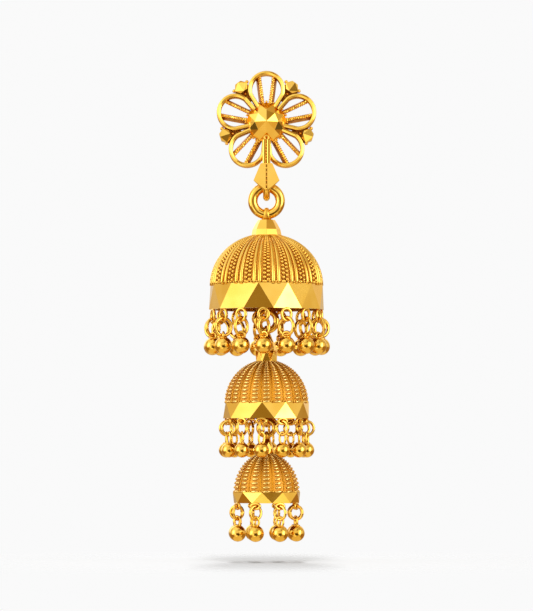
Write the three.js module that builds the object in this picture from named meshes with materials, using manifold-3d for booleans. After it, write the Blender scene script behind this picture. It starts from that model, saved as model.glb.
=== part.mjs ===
// A three-tier jhumka earring, in millimetres. A flower stud carries three ribbed domes, one below
// the other, each hung on a wire ring. Each dome has a diamond-cut band and a fringe of gold beads.
// +Z is up, -Y is the front and +Y points into the ear. The origin is where the ear post leaves the
// stud's flat back. Metal that is soldered together is one mesh.
import * as THREE from "three";
import { ConvexGeometry } from "three/addons/geometries/ConvexGeometry.js";
import { mergeVertices } from "three/addons/utils/BufferGeometryUtils.js";
import Module from "manifold-3d";

const wasm = await Module();
wasm.setup();

// ---- Driving dimensions ----

const QUARTER_TURN = Math.PI / 2;
const GOLD = { color: 0xe3a835, roughness: 0.22, metalness: 1 };
const SOLDER = 0.15; // how far soldered pieces run into each other

const STUD = {
  petals: 5,
  petalReach: 4.05, // from the flower's centre to the centre of a petal's round end
  petalRadius: 2.15,
  petalRoot: 1.4, // where a petal's sides start, under the boss
  rootHalfWidth: 1.15,
  wall: 0.5, // thickness of the strip that each petal is bent from
  depth: 2.0,
  spokes: 2,
  spokeWidth: 0.34,
  spokeDepth: 1.5,
  spokeOffset: 0.62, // from the petal's middle line, halfway along it
  spokeTilt: 0.13,
  accentReach: 5.25, // the small cut studs in the notches between the petals
  accentHalfWidth: 0.9,
  accentRadius: 0.62, // half their size outwards from the flower's centre
  accentFoot: 1.3,
  accentPoint: 2.3,
  wedgeDepth: 0.9, // the plate that fills each notch
};

const BOSS = { radius: 2.4, sides: 8, girdle: 1.9, crown: 2.75, point: 3.4 };

const POST = { radius: 0.42, length: 10.5 };

const KITE = {
  stemHalfWidth: 0.7,
  stemBack: -0.9,
  stemFront: -3.1,
  top: -5.1,
  widest: -7.15,
  tip: -8.35,
  halfWidth: 1.56,
  back: -2.75,
  edge: -3.4,
  ridge: -3.75,
};

const DROP_AXIS = { y: -1.7 }; // the drop hangs in front of the stud's back, clear of the ear

// One row for each tier, from the ring that it hangs on. ringZ is the height of that ring's centre
// above the ring of the tier before, and the first one's above the origin. ring is the ring's
// middle radius and ringWire its wire's. hookWire is the wire radius of the hook or eye above it,
// and play the room between them. crownRise is how far the dome's curve rises above the collar.
// facetTurn and beadTurn place the first facet and the first bead, as degrees from the front.
const TIERS = [
  {
    name: "large", ringName: "top_ring", ringZ: -9.53, ring: 1.65, ringWire: 0.58,
    hookWire: 0.42, play: 0.25, strapWall: 0.3, strapWidth: 0.85,
    finialHeight: 1.55, finialTop: 0.7, finialRadius: 1.85,
    domeHeight: 6.05, radius: 6.8, crownRise: 6.5, wall: 0.6, gores: 18, collarHeight: 0.5,
    bandHeight: 2.9, rimRadius: 6.96, facets: 12, facetTurn: -8,
    beads: 15, beadTurn: -3, beadRadius: 1.04, beadTop: 3.37, dropCircle: 6.62,
    eyeDepth: 1.7, eyeHalfWidth: 0.6, link: 1.05, linkWire: 0.2,
  },
  {
    name: "medium", ringName: "middle_ring", ringZ: -14.47, ring: 1.2, ringWire: 0.38,
    hookWire: 0.28, play: 0.2, strapWall: 0.27, strapWidth: 0.7,
    finialHeight: 2.92, finialTop: 0.5, finialRadius: 1.35,
    domeHeight: 5.1, radius: 5.08, crownRise: 5.4, wall: 0.5, gores: 22, collarHeight: 0.4,
    bandHeight: 1.8, rimRadius: 5.22, facets: 11, facetTurn: -6,
    beads: 12, beadTurn: -7, beadRadius: 0.9, beadTop: 2.9, dropCircle: 4.88,
    eyeDepth: 0.86, eyeHalfWidth: 0.55, link: 0.82, linkWire: 0.17,
  },
  {
    name: "small", ringName: "lower_ring", ringZ: -12.87, ring: 0.95, ringWire: 0.3,
    hookWire: 0.22, play: 0.18, strapWall: 0.2, strapWidth: 0.6,
    finialHeight: 1.49, finialTop: 0.45, finialRadius: 0.95,
    domeHeight: 4.8, radius: 3.98, crownRise: 5.0, wall: 0.45, gores: 16, collarHeight: 0.35,
    bandHeight: 1.2, rimRadius: 4.1, facets: 10, facetTurn: -8,
    beads: 8, beadTurn: -20, beadRadius: 1.0, beadTop: 2.6, dropCircle: 3.8,
    eyeDepth: 0.84, eyeHalfWidth: 0.55, link: 0.8, linkWire: 0.17,
  },
];

const LINK_ROOM = 0.16; // between a bead drop's link and the eye that it hangs in
const GROOVE_DEPTH = 0.04; // depth of the valleys between a dome's gores, as a share of its radius
const COLLAR_PROUD = 0.08; // how far the collar stands out from the foot of the dome

// ---- Solids ----

// A closed three.js geometry as a solid that can be joined and cut.
function solid(geometry) {
  const bare = geometry.clone();
  for (const name of ["normal", "uv"]) bare.deleteAttribute(name);
  const merged = mergeVertices(bare, 1e-4);
  const corners = merged.index.array;
  const kept = [];
  for (let i = 0; i < corners.length; i += 3) {
    const [a, b, c] = corners.slice(i, i + 3);
    if (a !== b && b !== c && a !== c) kept.push(a, b, c);
  }
  const vertProperties = new Float32Array(merged.attributes.position.array);
  return new wasm.Manifold(
    new wasm.Mesh({ numProp: 3, vertProperties, triVerts: new Uint32Array(kept) }),
  );
}

const joined = (geometries) => geometries.map(solid).reduce((all, next) => all.add(next));

function goldMesh(name, made) {
  const { vertProperties, triVerts } = made.getMesh();
  const geometry = new THREE.BufferGeometry()
    .setAttribute("position", new THREE.BufferAttribute(vertProperties, 3))
    .setIndex(new THREE.BufferAttribute(triVerts, 1));
  geometry.computeVertexNormals();
  const mesh = new THREE.Mesh(geometry, new THREE.MeshStandardMaterial(GOLD));
  mesh.name = name;
  return mesh;
}

// A wire ring: a front ring stands in the XZ plane, a side ring in the YZ plane.
const frontRing = (reach, wire, segments, sides) =>
  new THREE.TorusGeometry(reach, wire, sides, segments).rotateX(QUARTER_TURN);
const sideRing = (reach, wire, segments, sides) =>
  new THREE.TorusGeometry(reach, wire, sides, segments).rotateY(QUARTER_TURN);

// A U of square wire that hangs down by depth, with its legs starting at height rise. wire is half
// its thickness.
function staple(halfWidth, depth, rise, wire) {
  const bend = halfWidth - depth;
  const outline = new THREE.Shape();
  outline.moveTo(-halfWidth - wire, rise);
  outline.absarc(0, bend, halfWidth + wire, Math.PI, 2 * Math.PI, false);
  outline.lineTo(halfWidth + wire, rise);
  outline.lineTo(halfWidth - wire, rise);
  outline.absarc(0, bend, halfWidth - wire, 0, -Math.PI, true);
  outline.lineTo(wire - halfWidth, rise);
  outline.closePath();
  const plate = new THREE.ExtrudeGeometry(outline, {
    depth: 2 * wire,
    bevelEnabled: false,
    curveSegments: 3,
  });
  return plate.translate(0, 0, -wire).rotateX(QUARTER_TURN);
}

// An upright rod from one height to another.
const rod = (radius, from, to, sides) =>
  new THREE.CylinderGeometry(radius, radius, Math.abs(to - from), sides)
    .rotateX(QUARTER_TURN)
    .translate(0, 0, (from + to) / 2);

// The corners of a level polygon, the first one turned from the front.
function polygon(sides, radius, z, turn) {
  return Array.from({ length: sides }, (_, i) => {
    const angle = turn + (i / sides) * 2 * Math.PI;
    return new THREE.Vector3(radius * Math.sin(angle), -radius * Math.cos(angle), z);
  });
}

// ---- The stud: drawn flat, with its back at 0, and then stood up to face the front ----

const standUp = (geometry) => geometry.rotateX(QUARTER_TURN);

function petalOutline(inset) {
  const outline = new THREE.Shape();
  const radius = STUD.petalRadius - inset;
  const half = STUD.rootHalfWidth - inset;
  outline.moveTo(STUD.petalRoot + inset, -half);
  outline.absarc(STUD.petalReach, 0, radius, -QUARTER_TURN * 1.2, QUARTER_TURN * 1.2, false);
  outline.lineTo(STUD.petalRoot + inset, half);
  outline.closePath();
  return outline;
}

// A petal's bent strip with its spokes, pointing along +X.
function petal() {
  const frame = petalOutline(0);
  frame.holes.push(petalOutline(STUD.wall));
  const strip = new THREE.ExtrudeGeometry(frame, {
    depth: STUD.depth,
    bevelEnabled: false,
    curveSegments: 7,
  });
  const length = STUD.petalReach + STUD.petalRadius - STUD.wall - STUD.petalRoot;
  const middle = STUD.petalRoot + length / 2;
  const spokes = Array.from({ length: STUD.spokes }, (_, i) => {
    const side = i * 2 - (STUD.spokes - 1);
    return new THREE.BoxGeometry(length, STUD.spokeWidth, STUD.spokeDepth)
      .rotateZ(side * STUD.spokeTilt)
      .translate(middle, side * STUD.spokeOffset, STUD.spokeDepth / 2);
  });
  return [strip, ...spokes];
}

// The cut stud in the notch between two petals, along +X: a roof of four facets, and the plate
// behind it that fills the notch.
function accent() {
  const { accentReach: reach, accentHalfWidth: half, accentRadius: radius } = STUD;
  const { accentFoot, accentPoint, wedgeDepth, petalReach, wall } = STUD;
  const prism = (outline, height) =>
    outline.flatMap(([x, y]) => [0, height].flatMap((z) => [
      new THREE.Vector3(x, y, z),
      new THREE.Vector3(x, -y, z),
    ]));
  const outline = [[reach - radius, half * 0.55], [reach, half], [reach + radius, half * 0.45]];
  const roof = [-0.45, 0.35].map((share) => new THREE.Vector3(reach + share * radius, 0, accentPoint));
  const root = petalReach * Math.cos(Math.PI / STUD.petals); // where the petals come closest
  const wedge = [[root, wall * 0.65], [reach - radius, half * 0.95], [reach, half]];
  return [
    new ConvexGeometry([...prism(outline, accentFoot), ...roof]),
    new ConvexGeometry(prism(wedge, wedgeDepth)),
  ];
}

function boss() {
  const { radius, sides, girdle, crown, point } = BOSS;
  return new ConvexGeometry([
    ...polygon(sides * 2, radius, 0, 0),
    ...polygon(sides * 2, radius, girdle * 0.8, 0),
    ...polygon(sides, radius * 0.86, girdle * 1.15, 0),
    ...polygon(sides, radius * 0.52, crown, Math.PI / sides),
    new THREE.Vector3(0, 0, point),
  ]);
}

// The diamond-shaped link below the flower, with a ridge down its front.
function kite() {
  const { stemHalfWidth, top, widest, tip, halfWidth, back, edge, ridge } = KITE;
  const rows = [[top, stemHalfWidth], [widest, halfWidth], [tip, stemHalfWidth / 2]];
  return new ConvexGeometry(
    rows.flatMap(([z, half]) => [
      new THREE.Vector3(-half, back, z),
      new THREE.Vector3(half, back, z),
      new THREE.Vector3(-half, edge, z),
      new THREE.Vector3(half, edge, z),
      new THREE.Vector3(0, ridge, z),
    ]),
  );
}

function stud() {
  const turnTo = (place) => QUARTER_TURN + (place / STUD.petals) * 2 * Math.PI;
  const pieces = [standUp(boss())];
  for (let i = 0; i < STUD.petals; i++) {
    for (const piece of petal()) pieces.push(standUp(piece.rotateZ(turnTo(i))));
    const notch = i + 0.5;
    const holdsKite = notch === STUD.petals / 2;
    if (!holdsKite)
      for (const piece of accent()) pieces.push(standUp(piece.rotateZ(turnTo(notch))));
  }
  const { stemHalfWidth, stemBack, stemFront, top } = KITE;
  const stemLength = Math.abs(top) + SOLDER;
  pieces.push(
    new THREE.BoxGeometry(stemHalfWidth * 2, stemBack - stemFront, stemLength).translate(
      0, (stemBack + stemFront) / 2, -stemLength / 2,
    ),
    kite(),
    hook(TIERS[0]).translate(0, DROP_AXIS.y, TIERS[0].ringZ),
  );
  return goldMesh("flower_stud", joined(pieces));
}

function earPost() {
  const pin = new THREE.CylinderGeometry(POST.radius * 0.6, POST.radius, POST.length, 12);
  return goldMesh("ear_post", solid(pin.translate(0, POST.length / 2, 0)));
}

// ---- The tiers: each tier's own frame has its origin at the centre of the ring that it hangs on ----

// The hook or eye that a tier's ring hangs in, clear of the ring's wire all round.
const hook = (tier) =>
  sideRing(tier.ringWire + tier.play + tier.hookWire, tier.hookWire, 12, 6).translate(
    0, 0, tier.ring,
  );

// A tier's heights, downwards from its ring.
function levels(tier) {
  const finialTop = -tier.ring - tier.ringWire - tier.play - tier.strapWall / 2;
  const domeTop = finialTop - tier.finialHeight;
  const domeBase = domeTop - tier.domeHeight;
  return { finialTop, domeTop, domeBase, rim: domeBase - tier.bandHeight };
}

// The strap that loops round the bottom of the ring.
function strap(tier) {
  const inner = tier.ringWire + tier.play;
  const outer = inner + tier.strapWall;
  const half = tier.strapWidth / 2;
  const profile = [[inner, -half], [outer, -half], [outer, half], [inner, half], [inner, -half]];
  return new THREE.LatheGeometry(profile.map(([x, y]) => new THREE.Vector2(x, y)), 12)
    .rotateZ(QUARTER_TURN)
    .translate(0, 0, -tier.ring);
}

// How a faceted cap swells from its top to its foot: shares of its height and of its widening.
const CAP_ROWS = [[0, 0], [0.22, 0.34], [0.6, 0.8], [1, 1]];

// The faceted cap on a dome, with each row of corners turned by half a facet.
function finial(tier, level) {
  const sides = 8;
  const foot = level.domeTop - SOLDER;
  return new ConvexGeometry(
    CAP_ROWS.flatMap(([down, out], row) =>
      polygon(
        sides,
        tier.finialTop + (tier.finialRadius - tier.finialTop) * out,
        level.finialTop + (foot - level.finialTop) * down,
        (row % 2) * (Math.PI / sides),
      )),
  );
}

// A closed half ellipse on the axis, from its foot at height 0 down to a flat bottom at -skirt.
function mound(radius, rise, skirt, rows, segments) {
  const curve = Array.from({ length: rows + 1 }, (_, i) => {
    const angle = (i / rows) * QUARTER_TURN;
    return new THREE.Vector2(radius * Math.cos(angle), rise * Math.sin(angle));
  });
  curve[rows].x = 0;
  const bottom = [new THREE.Vector2(0, -skirt), new THREE.Vector2(radius, -skirt)];
  return new THREE.LatheGeometry([...bottom, ...curve], segments).rotateX(QUARTER_TURN);
}

// Draws every second column of a mound in, so that it is fluted into gores.
function flute(geometry) {
  const place = geometry.attributes.position;
  const rows = geometry.parameters.points.length;
  const kept = 1 - GROOVE_DEPTH;
  for (let i = 0; i < place.count; i++) {
    const isValley = Math.floor(i / rows) % 2 === 1;
    if (isValley) place.setXYZ(i, place.getX(i) * kept, place.getY(i) * kept, place.getZ(i));
  }
  return geometry;
}

// The diamond-cut band: two polygons, half a side apart, so that the wall between them falls into
// triangles that point up and down in turn.
function band(tier, level) {
  const turn = THREE.MathUtils.degToRad(tier.facetTurn);
  return new ConvexGeometry([
    ...polygon(tier.facets, tier.radius, level.domeBase + SOLDER, turn),
    ...polygon(tier.facets, tier.rimRadius, level.rim, turn + Math.PI / tier.facets),
  ]);
}

// A dome with its collar and band, hollowed out from below.
function shell(tier, level) {
  const { radius, crownRise, wall, gores, collarHeight, bandHeight } = tier;
  const collar = radius + COLLAR_PROUD;
  const outside = joined([
    finial(tier, level),
    flute(mound(radius, crownRise, 0, 6, gores * 2)).translate(0, 0, level.domeBase),
    rod(collar, level.domeBase, level.domeBase + collarHeight, gores * 2),
    band(tier, level),
  ]);
  const inside = mound(radius - wall, crownRise - wall, bandHeight * 2, 4, gores);
  return outside.subtract(solid(inside.translate(0, 0, level.domeBase)));
}

// Places something that faces outwards on a tier's rim, at one of its bead drops.
function atRim(object, tier, level, i) {
  const angle = THREE.MathUtils.degToRad(tier.beadTurn + (i * 360) / tier.beads);
  object.position.set(
    tier.dropCircle * Math.sin(angle), -tier.dropCircle * Math.cos(angle), level.rim,
  );
  object.rotation.z = angle;
  object.updateMatrix();
  return object;
}

// A dome with all that is soldered to it: strap, finial, band, the eyes that its bead drops hang
// in, and inside it the stem and eye that the next tier hangs on.
function domeMesh(tier, level, next) {
  const pieces = [strap(tier)];
  for (let i = 0; i < tier.beads; i++) {
    const holder = atRim(new THREE.Object3D(), tier, level, i);
    const eye = staple(tier.eyeHalfWidth, tier.eyeDepth, SOLDER, tier.linkWire);
    pieces.push(eye.applyMatrix4(holder.matrix));
  }
  if (next) {
    const eyeTop = next.ringZ + next.ring + next.ringWire + next.play + next.hookWire;
    pieces.push(
      hook(next).translate(0, 0, next.ringZ),
      rod(next.hookWire, level.domeTop, eyeTop, 8),
    );
  }
  return goldMesh(`${tier.name}_dome`, shell(tier, level).add(joined(pieces)));
}

// A gold bead with the loop on its top and the link that the loop hangs on, joined where they
// touch. Its origin is on the rim.
function beadDrop(tier) {
  const { linkWire, link, beadTop, beadRadius } = tier;
  const linkTop = -tier.eyeDepth + 2 * linkWire + LINK_ROOM;
  const linkBottom = linkTop - 2 * link;
  const loopTop = linkBottom + 1.8 * linkWire;
  const loop = staple(beadRadius * 0.42, loopTop + beadTop, SOLDER, linkWire * 0.9)
    .rotateX(Math.PI)
    .translate(0, 0, -beadTop);
  const bead = new THREE.SphereGeometry(beadRadius, 8, 5)
    .rotateX(QUARTER_TURN)
    .translate(0, 0, -beadTop - beadRadius);
  return joined([
    sideRing(link, linkWire, 8, 4).translate(0, 0, linkTop - link),
    loop,
    bead,
  ]);
}

function tierGroup(index) {
  const tier = TIERS[index];
  const next = TIERS[index + 1];
  const level = levels(tier);
  const group = new THREE.Group();
  group.position.z = tier.ringZ;
  group.add(
    goldMesh(tier.ringName, solid(frontRing(tier.ring, tier.ringWire, 18, 6))),
    domeMesh(tier, level, next),
  );
  const drop = beadDrop(tier);
  for (let i = 0; i < tier.beads; i++) {
    const name = `${tier.name}_drop_${String(i + 1).padStart(2, "0")}`;
    group.add(atRim(goldMesh(name, drop), tier, level, i));
  }
  if (next) group.add(tierGroup(index + 1));
  return group;
}

const earring = new THREE.Group();
const hanging = tierGroup(0);
hanging.position.y = DROP_AXIS.y;
earring.add(stud(), earPost(), hanging);

export default earring;
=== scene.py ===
import math
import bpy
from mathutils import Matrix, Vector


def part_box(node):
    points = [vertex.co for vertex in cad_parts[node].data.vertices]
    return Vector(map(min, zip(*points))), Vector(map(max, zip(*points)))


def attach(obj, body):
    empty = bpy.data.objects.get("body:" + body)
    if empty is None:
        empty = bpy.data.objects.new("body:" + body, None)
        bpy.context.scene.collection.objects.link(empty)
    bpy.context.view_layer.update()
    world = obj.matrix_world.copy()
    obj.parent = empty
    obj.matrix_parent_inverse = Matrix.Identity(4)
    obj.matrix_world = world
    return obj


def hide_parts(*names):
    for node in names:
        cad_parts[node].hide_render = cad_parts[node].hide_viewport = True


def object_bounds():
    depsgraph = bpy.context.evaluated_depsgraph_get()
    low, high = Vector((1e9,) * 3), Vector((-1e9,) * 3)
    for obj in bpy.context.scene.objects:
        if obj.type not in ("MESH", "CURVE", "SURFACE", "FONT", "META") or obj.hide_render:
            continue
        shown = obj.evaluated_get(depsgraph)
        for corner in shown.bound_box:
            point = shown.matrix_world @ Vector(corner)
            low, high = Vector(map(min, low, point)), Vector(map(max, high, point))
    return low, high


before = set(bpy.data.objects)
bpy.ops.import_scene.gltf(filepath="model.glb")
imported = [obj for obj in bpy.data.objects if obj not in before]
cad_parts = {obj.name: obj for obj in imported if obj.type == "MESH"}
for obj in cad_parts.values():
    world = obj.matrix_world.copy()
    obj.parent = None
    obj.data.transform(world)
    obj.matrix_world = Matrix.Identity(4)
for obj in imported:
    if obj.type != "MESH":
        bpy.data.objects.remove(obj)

from types import SimpleNamespace

import bmesh
import bpy
import numpy as np
from mathutils import Vector

# A three-tier gold jhumka earring. Sizes are in millimetres, in the frame's own axes: +Z up, -Y the
# front. The pieces are placed from the boxes of the rings that the tiers hang on.

cad_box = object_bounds()

MM = 0.001
TAU = 2 * math.pi
QUARTER = math.pi / 2

# Lengths are in millimetres. A depth, back, foot or point is measured forward from the flat back, but
# the petals' shoulder and shelf and their cut crest are measured back from their depth. round_end is
# in quarter turns and side_start a share of a petal's straight side. crest is a share of half the
# wall, and cut_peak of the crest. accent_root, accent_tip and wedge_tip are shares of accent_half, and
# wedge_root of the wall. Each of grain_spots lies out from the accent, sideways by a share of its
# half width, and forward.
STUD = SimpleNamespace(
    petals=5, reach=3.95, radius=2.25, round_end=1.2, root=1.4, root_half=1.15, side_start=0.12,
    wall=0.5, depth=2.0, crest=0.78, shoulder=0.28, shelf=0.14,
    cut_foot=0.2, cut_right=0.08, cut_left=0.09, cut_peak=0.1,
    spoke_offset=0.62, spoke_tilt=0.13, spoke_width=0.26, spoke_depth=1.25, spoke_lean=0.3,
    strand=0.135, strand_swing=0.8, strand_pitch=0.55,
    accent_reach=5.25, accent_half=0.9, accent_radius=0.62, accent_foot=1.85, accent_point=2.18,
    accent_root=0.55, accent_tip=0.45, wedge_root=0.65, wedge_tip=0.95, wedge_depth=0.9,
    spoke_back=0.08, accent_back=0.03, wedge_back=0.06,
    grain=0.22, grain_spots=((0.1, 1.05, 1.5), (0.1, -1.05, 1.5), (-0.95, 0, 0.95)),
    foot_grain=0.14, foot_grains=36, foot_circle=2.5, foot_depth=0.2,
)
BOSS = SimpleNamespace(
    back=0.045, radius=2.4, sides=8, girdle=1.7, crown_radius=1.4, crown=2.72, point=3.4,
)
# Heights from the flower's centre: top, widest, tip, eye and the starts, which lie inside the boss.
# Places along Y: back, edge, ridge, stem_back and stem_front. half and stem are half widths.
KITE = SimpleNamespace(
    top=-5.1, widest=-7.15, tip=-8.35, stem=0.7, half=1.56, back=-2.75, edge=-3.4, ridge=-3.75,
    stem_back=-0.9, stem_front=-2.9, stem_sheet=0.64, seam=0.09, seam_sunk=0.1,
    wires_start=-2.25, wires_lap=0.3, sheet_start=-2.1, sheet_lap=0.2, grains_start=-2.75,
    grain=0.14, grain_pitch=0.5, grain_proud=0.12, grain_room=0.1,
    stem_grain=0.1, stem_grain_pitch=0.36, stem_grain_proud=0.08, stem_grain_room=0.2,
    eye=-2.0, eye_reach=0.25, eye_wire=0.12, eye_proud=0.02,
)
POST = SimpleNamespace(taper=0.6, shank=0.96, tip=(0.2, 1.4))

# One row for each tier, from the top. band_ and rim_ are the cut band under the dome, and bead_,
# drop_, eye_ and link are the bead drops round its rim. sheet_depth, wire, wire_depth and grain_half,
# tall and deep are shares of the width of a gore, grain_pitch is a share of a grain's height, and the
# wires and columns of grains lie beside the seam or the middle of each gore as wire_sides and
# grain_sides say. Turns and leans are in degrees.
TIERS = [
    SimpleNamespace(
        name="large", body="large_tier", ring="top_ring", link_body="top_link",
        hook_wire=0.42, play=0.25, strap_wall=0.3, strap_width=0.85,
        finial_height=1.55, finial_top=1.0, finial_radius=1.85, finial_swell=0.8, finial_weave=0,
        dome_height=6.05, radius=6.85, crown_rise=6.5, wall=0.6, gores=18, collar=0.5, collar_inset=0.08,
        band_height=2.9, band_top=6.82, rim_radius=6.96, facets=12, facet_turn=-8,
        beads=15, bead_turn=-3, bead_radius=1.04, bead_top=3.37, drop_circle=6.62,
        eye_depth=1.7, eye_half=0.6, link=1.05, link_wire=0.2,
        sheet_depth=0.14, wire=0.1, wire_depth=0.1, wire_taper=1.0, wire_sides=(-1.45, 1.45),
        grain_mesh=(8, 6), grain_sides=(-0.1, 0.1),
        grain_half=0.1, grain_tall=0.1, grain_deep=0.1, grain_pitch=2.15, grain_lean=0,
    ),
    SimpleNamespace(
        name="medium", body="medium_tier", ring="middle_ring", link_body="middle_link",
        hook_wire=0.28, play=0.2, strap_wall=0.27, strap_width=0.7,
        finial_height=2.92, finial_top=0.5, finial_radius=1.35, finial_swell=0.955, finial_weave=1,
        dome_height=5.1, radius=5.12, crown_rise=5.4, wall=0.5, gores=22, collar=0.4, collar_inset=0.06,
        band_height=1.8, band_top=5.1, rim_radius=5.22, facets=11, facet_turn=-6,
        beads=12, bead_turn=-7, bead_radius=0.9, bead_top=2.9, drop_circle=4.88,
        eye_depth=0.86, eye_half=0.55, link=0.82, link_wire=0.17,
        sheet_depth=0.14, wire=0.06, wire_depth=0.14, wire_taper=0.8, wire_sides=(0,),
        grain_mesh=(10, 6), grain_sides=(0,),
        grain_half=0.3, grain_tall=0.11, grain_deep=0.1, grain_pitch=3.1, grain_lean=6,
    ),
    SimpleNamespace(
        name="small", body="small_tier", ring="lower_ring", link_body="lower_link",
        hook_wire=0.22, play=0.18, strap_wall=0.2, strap_width=0.6,
        finial_height=1.49, finial_top=0.45, finial_radius=0.95, finial_swell=0.8, finial_weave=1,
        dome_height=4.8, radius=4.02, crown_rise=5.0, wall=0.45, gores=16, collar=0.35, collar_inset=0.06,
        band_height=1.2, band_top=4.11, rim_radius=3.95, facets=10, facet_turn=-8,
        beads=8, bead_turn=-20, bead_radius=1.0, bead_top=2.6, drop_circle=3.8,
        eye_depth=0.84, eye_half=0.55, link=0.8, link_wire=0.17,
        sheet_depth=0.14, wire=0.06, wire_depth=0.14, wire_taper=0.8, wire_sides=(0,),
        grain_mesh=(10, 6), grain_sides=(0,),
        grain_half=0.3, grain_tall=0.11, grain_deep=0.1, grain_pitch=3.1, grain_lean=6,
    ),
]
RING_SIDES = 6  # of a ring's wire in the frame: its box is that much narrower than the wire
# Of a strap's width, top is the share over the ring, flare what is added under it, and edge the share
# along its inner edges. Of its sheet, bow is the share that is rounded.
STRAP = SimpleNamespace(gap=0.06, sheet=0.2, bow=0.75, top=0.7, flare=0.9, edge=0.9)
# The shoulder is a share of the finial's height and one of its swell, and the waist is of its height.
FINIAL = SimpleNamespace(sides=8, foot=0.12, shoulder=(0.22, 0.34), waist=0.58)
DOME = SimpleNamespace(
    lining=0.12, sheet=0.1, below_top=0.05, above_rim=0.02, band_lap=0.1, under_finial=0.8, least_size=0.3,
)
# grain is a share of a tier's collar, and pitch is in grains' radii.
COLLAR = SimpleNamespace(grain=0.3, pitch=2.5, foot=0.1)
# The wires are shares of link_wire, and the loop's and collar's reach are shares of the bead's radius.
DROP = SimpleNamespace(
    eye_sunk=0.3, eye_wire=0.95, link_room=0.16, link_swing=0.6, loop_swing=0.7,
    loop_half=0.4, loop_wire=0.85, loop_hold=1.9, loop_sunk=0.25,
    collar=0.36, collar_wire=0.09, collar_sunk=0.07,
)


# ---- Shapes: points in millimetres, and faces ----

SLANT = (0.3, 0.5, 0.8)  # a direction that no wire starts along


class Shape:
    def __init__(self):
        self.points = []
        self.faces = []
        self.count = 0

    def add(self, points, faces):
        self.points.append(np.asarray(points, float))
        self.faces += [tuple(i + self.count for i in face) for face in faces]
        self.count += len(points)
        return self


def grid(rows, columns, wrap_rows=False):
    """Quads between rings of points, stored ring by ring. The last ring may meet the first."""
    faces = []
    for row in range(rows if wrap_rows else rows - 1):
        above = (row + 1) % rows * columns
        for column in range(columns):
            beside = (column + 1) % columns
            here = row * columns
            faces.append((here + column, here + beside, above + beside, above + column))
    return faces


def tube(path, radius, sides, closed=False):
    """A round wire along a path. The radius may change from point to point."""
    path = np.asarray(path, float)
    step = np.roll(path, -1, axis=0) - np.roll(path, 1, axis=0)
    if not closed:
        step[0], step[-1] = path[1] - path[0], path[-1] - path[-2]
    along = step / np.linalg.norm(step, axis=1, keepdims=True)
    side = np.cross(along[0], SLANT)
    across = []
    for direction in along:
        side = side - direction * side.dot(direction)
        side = side / np.linalg.norm(side)
        across.append(side)
    across = np.array(across)
    up = np.cross(along, across)
    turn = np.arange(sides) * TAU / sides
    ring = np.cos(turn)[None, :, None] * across[:, None] + np.sin(turn)[None, :, None] * up[:, None]
    reach = np.broadcast_to(radius, len(path))[:, None, None]
    points = (path[:, None] + ring * reach).reshape(-1, 3)
    faces = grid(len(path), sides, wrap_rows=closed)
    if not closed:
        last = (len(path) - 1) * sides
        faces += [tuple(range(sides)), tuple(last + i for i in range(sides))]
    return points, faces


def circle(centre, reach, first, second, steps):
    """Points round a circle, from the direction first towards the direction second."""
    turn = (np.arange(steps) * TAU / steps)[:, None]
    ring = np.cos(turn) * np.asarray(first) + np.sin(turn) * np.asarray(second)
    return np.asarray(centre) + reach * ring


def ball(columns, rows):
    """A ball of radius 1."""
    points = [(0, 0, 1)]
    for row in range(1, rows):
        tilt = math.pi * row / rows
        for column in range(columns):
            turn = TAU * column / columns
            out = math.sin(tilt)
            points.append((out * math.cos(turn), out * math.sin(turn), math.cos(tilt)))
    points.append((0, 0, -1))
    last = len(points) - 1
    faces = [tuple(1 + i for i in face) for face in grid(rows - 1, columns)]
    foot = last - columns
    for column in range(columns):
        beside = (column + 1) % columns
        faces.append((0, 1 + column, 1 + beside))
        faces.append((last, foot + beside, foot + column))
    return np.array(points), faces


def add_grains(shape, centres, radius, columns=10, rows=7):
    """Adds a small ball at each centre."""
    points, faces = ball(columns, rows)
    for centre in centres:
        shape.add(points * radius + centre, faces)
    return shape


def lathe(profile, segments):
    """A surface turned about the Z axis from (radius, height) points, which end on the axis or close."""
    capped = profile[0][0] == 0
    rings = [p for p in profile if p[0] > 0]
    turn = np.arange(segments) * TAU / segments
    points = [(r * math.sin(a), -r * math.cos(a), z) for r, z in rings for a in turn]
    faces = grid(len(rings), segments, wrap_rows=not capped)
    if capped:
        foot = (len(rings) - 1) * segments
        points += [(0, 0, profile[0][1]), (0, 0, profile[-1][1])]
        for i in range(segments):
            beside = (i + 1) % segments
            faces.append((len(points) - 2, i, beside))
            faces.append((len(points) - 1, foot + beside, foot + i))
    return np.array(points), faces


def hull(points):
    """The flat-faced solid round some points."""
    mesh = bmesh.new()
    for point in points:
        mesh.verts.new(point)
    made = bmesh.ops.convex_hull(mesh, input=mesh.verts)
    loose = [v for v in made["geom_interior"] if isinstance(v, bmesh.types.BMVert)]
    bmesh.ops.delete(mesh, geom=loose, context="VERTS")
    bmesh.ops.dissolve_limit(mesh, angle_limit=0.01, verts=mesh.verts, edges=mesh.edges)
    mesh.verts.index_update()
    corners = np.array([v.co for v in mesh.verts])
    faces = [tuple(v.index for v in face.verts) for face in mesh.faces]
    mesh.free()
    return corners, faces


def polygon(sides, radius, z, turn):
    """The corners of a level polygon, the first one turned from the front."""
    angle = turn + np.arange(sides) * TAU / sides
    return np.stack([radius * np.sin(angle), -radius * np.cos(angle), np.full(sides, z)], axis=1)


# ---- Gold ----

# The noise scales are per millimetre, the recess reach and scratch in millimetres, shinier and duller
# shares of a finish's roughness, and the recess pair the openness at which the deep tone starts and ends:
# painted shade in the recesses.
FINISH = SimpleNamespace(
    tone_scale=0.35, polish_scale=1.7, shinier=0.8, duller=1.25, recess_shade_reach=0.5, recess_shade=(0.2, 0.7),
    scratch=0.02,
)


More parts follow.
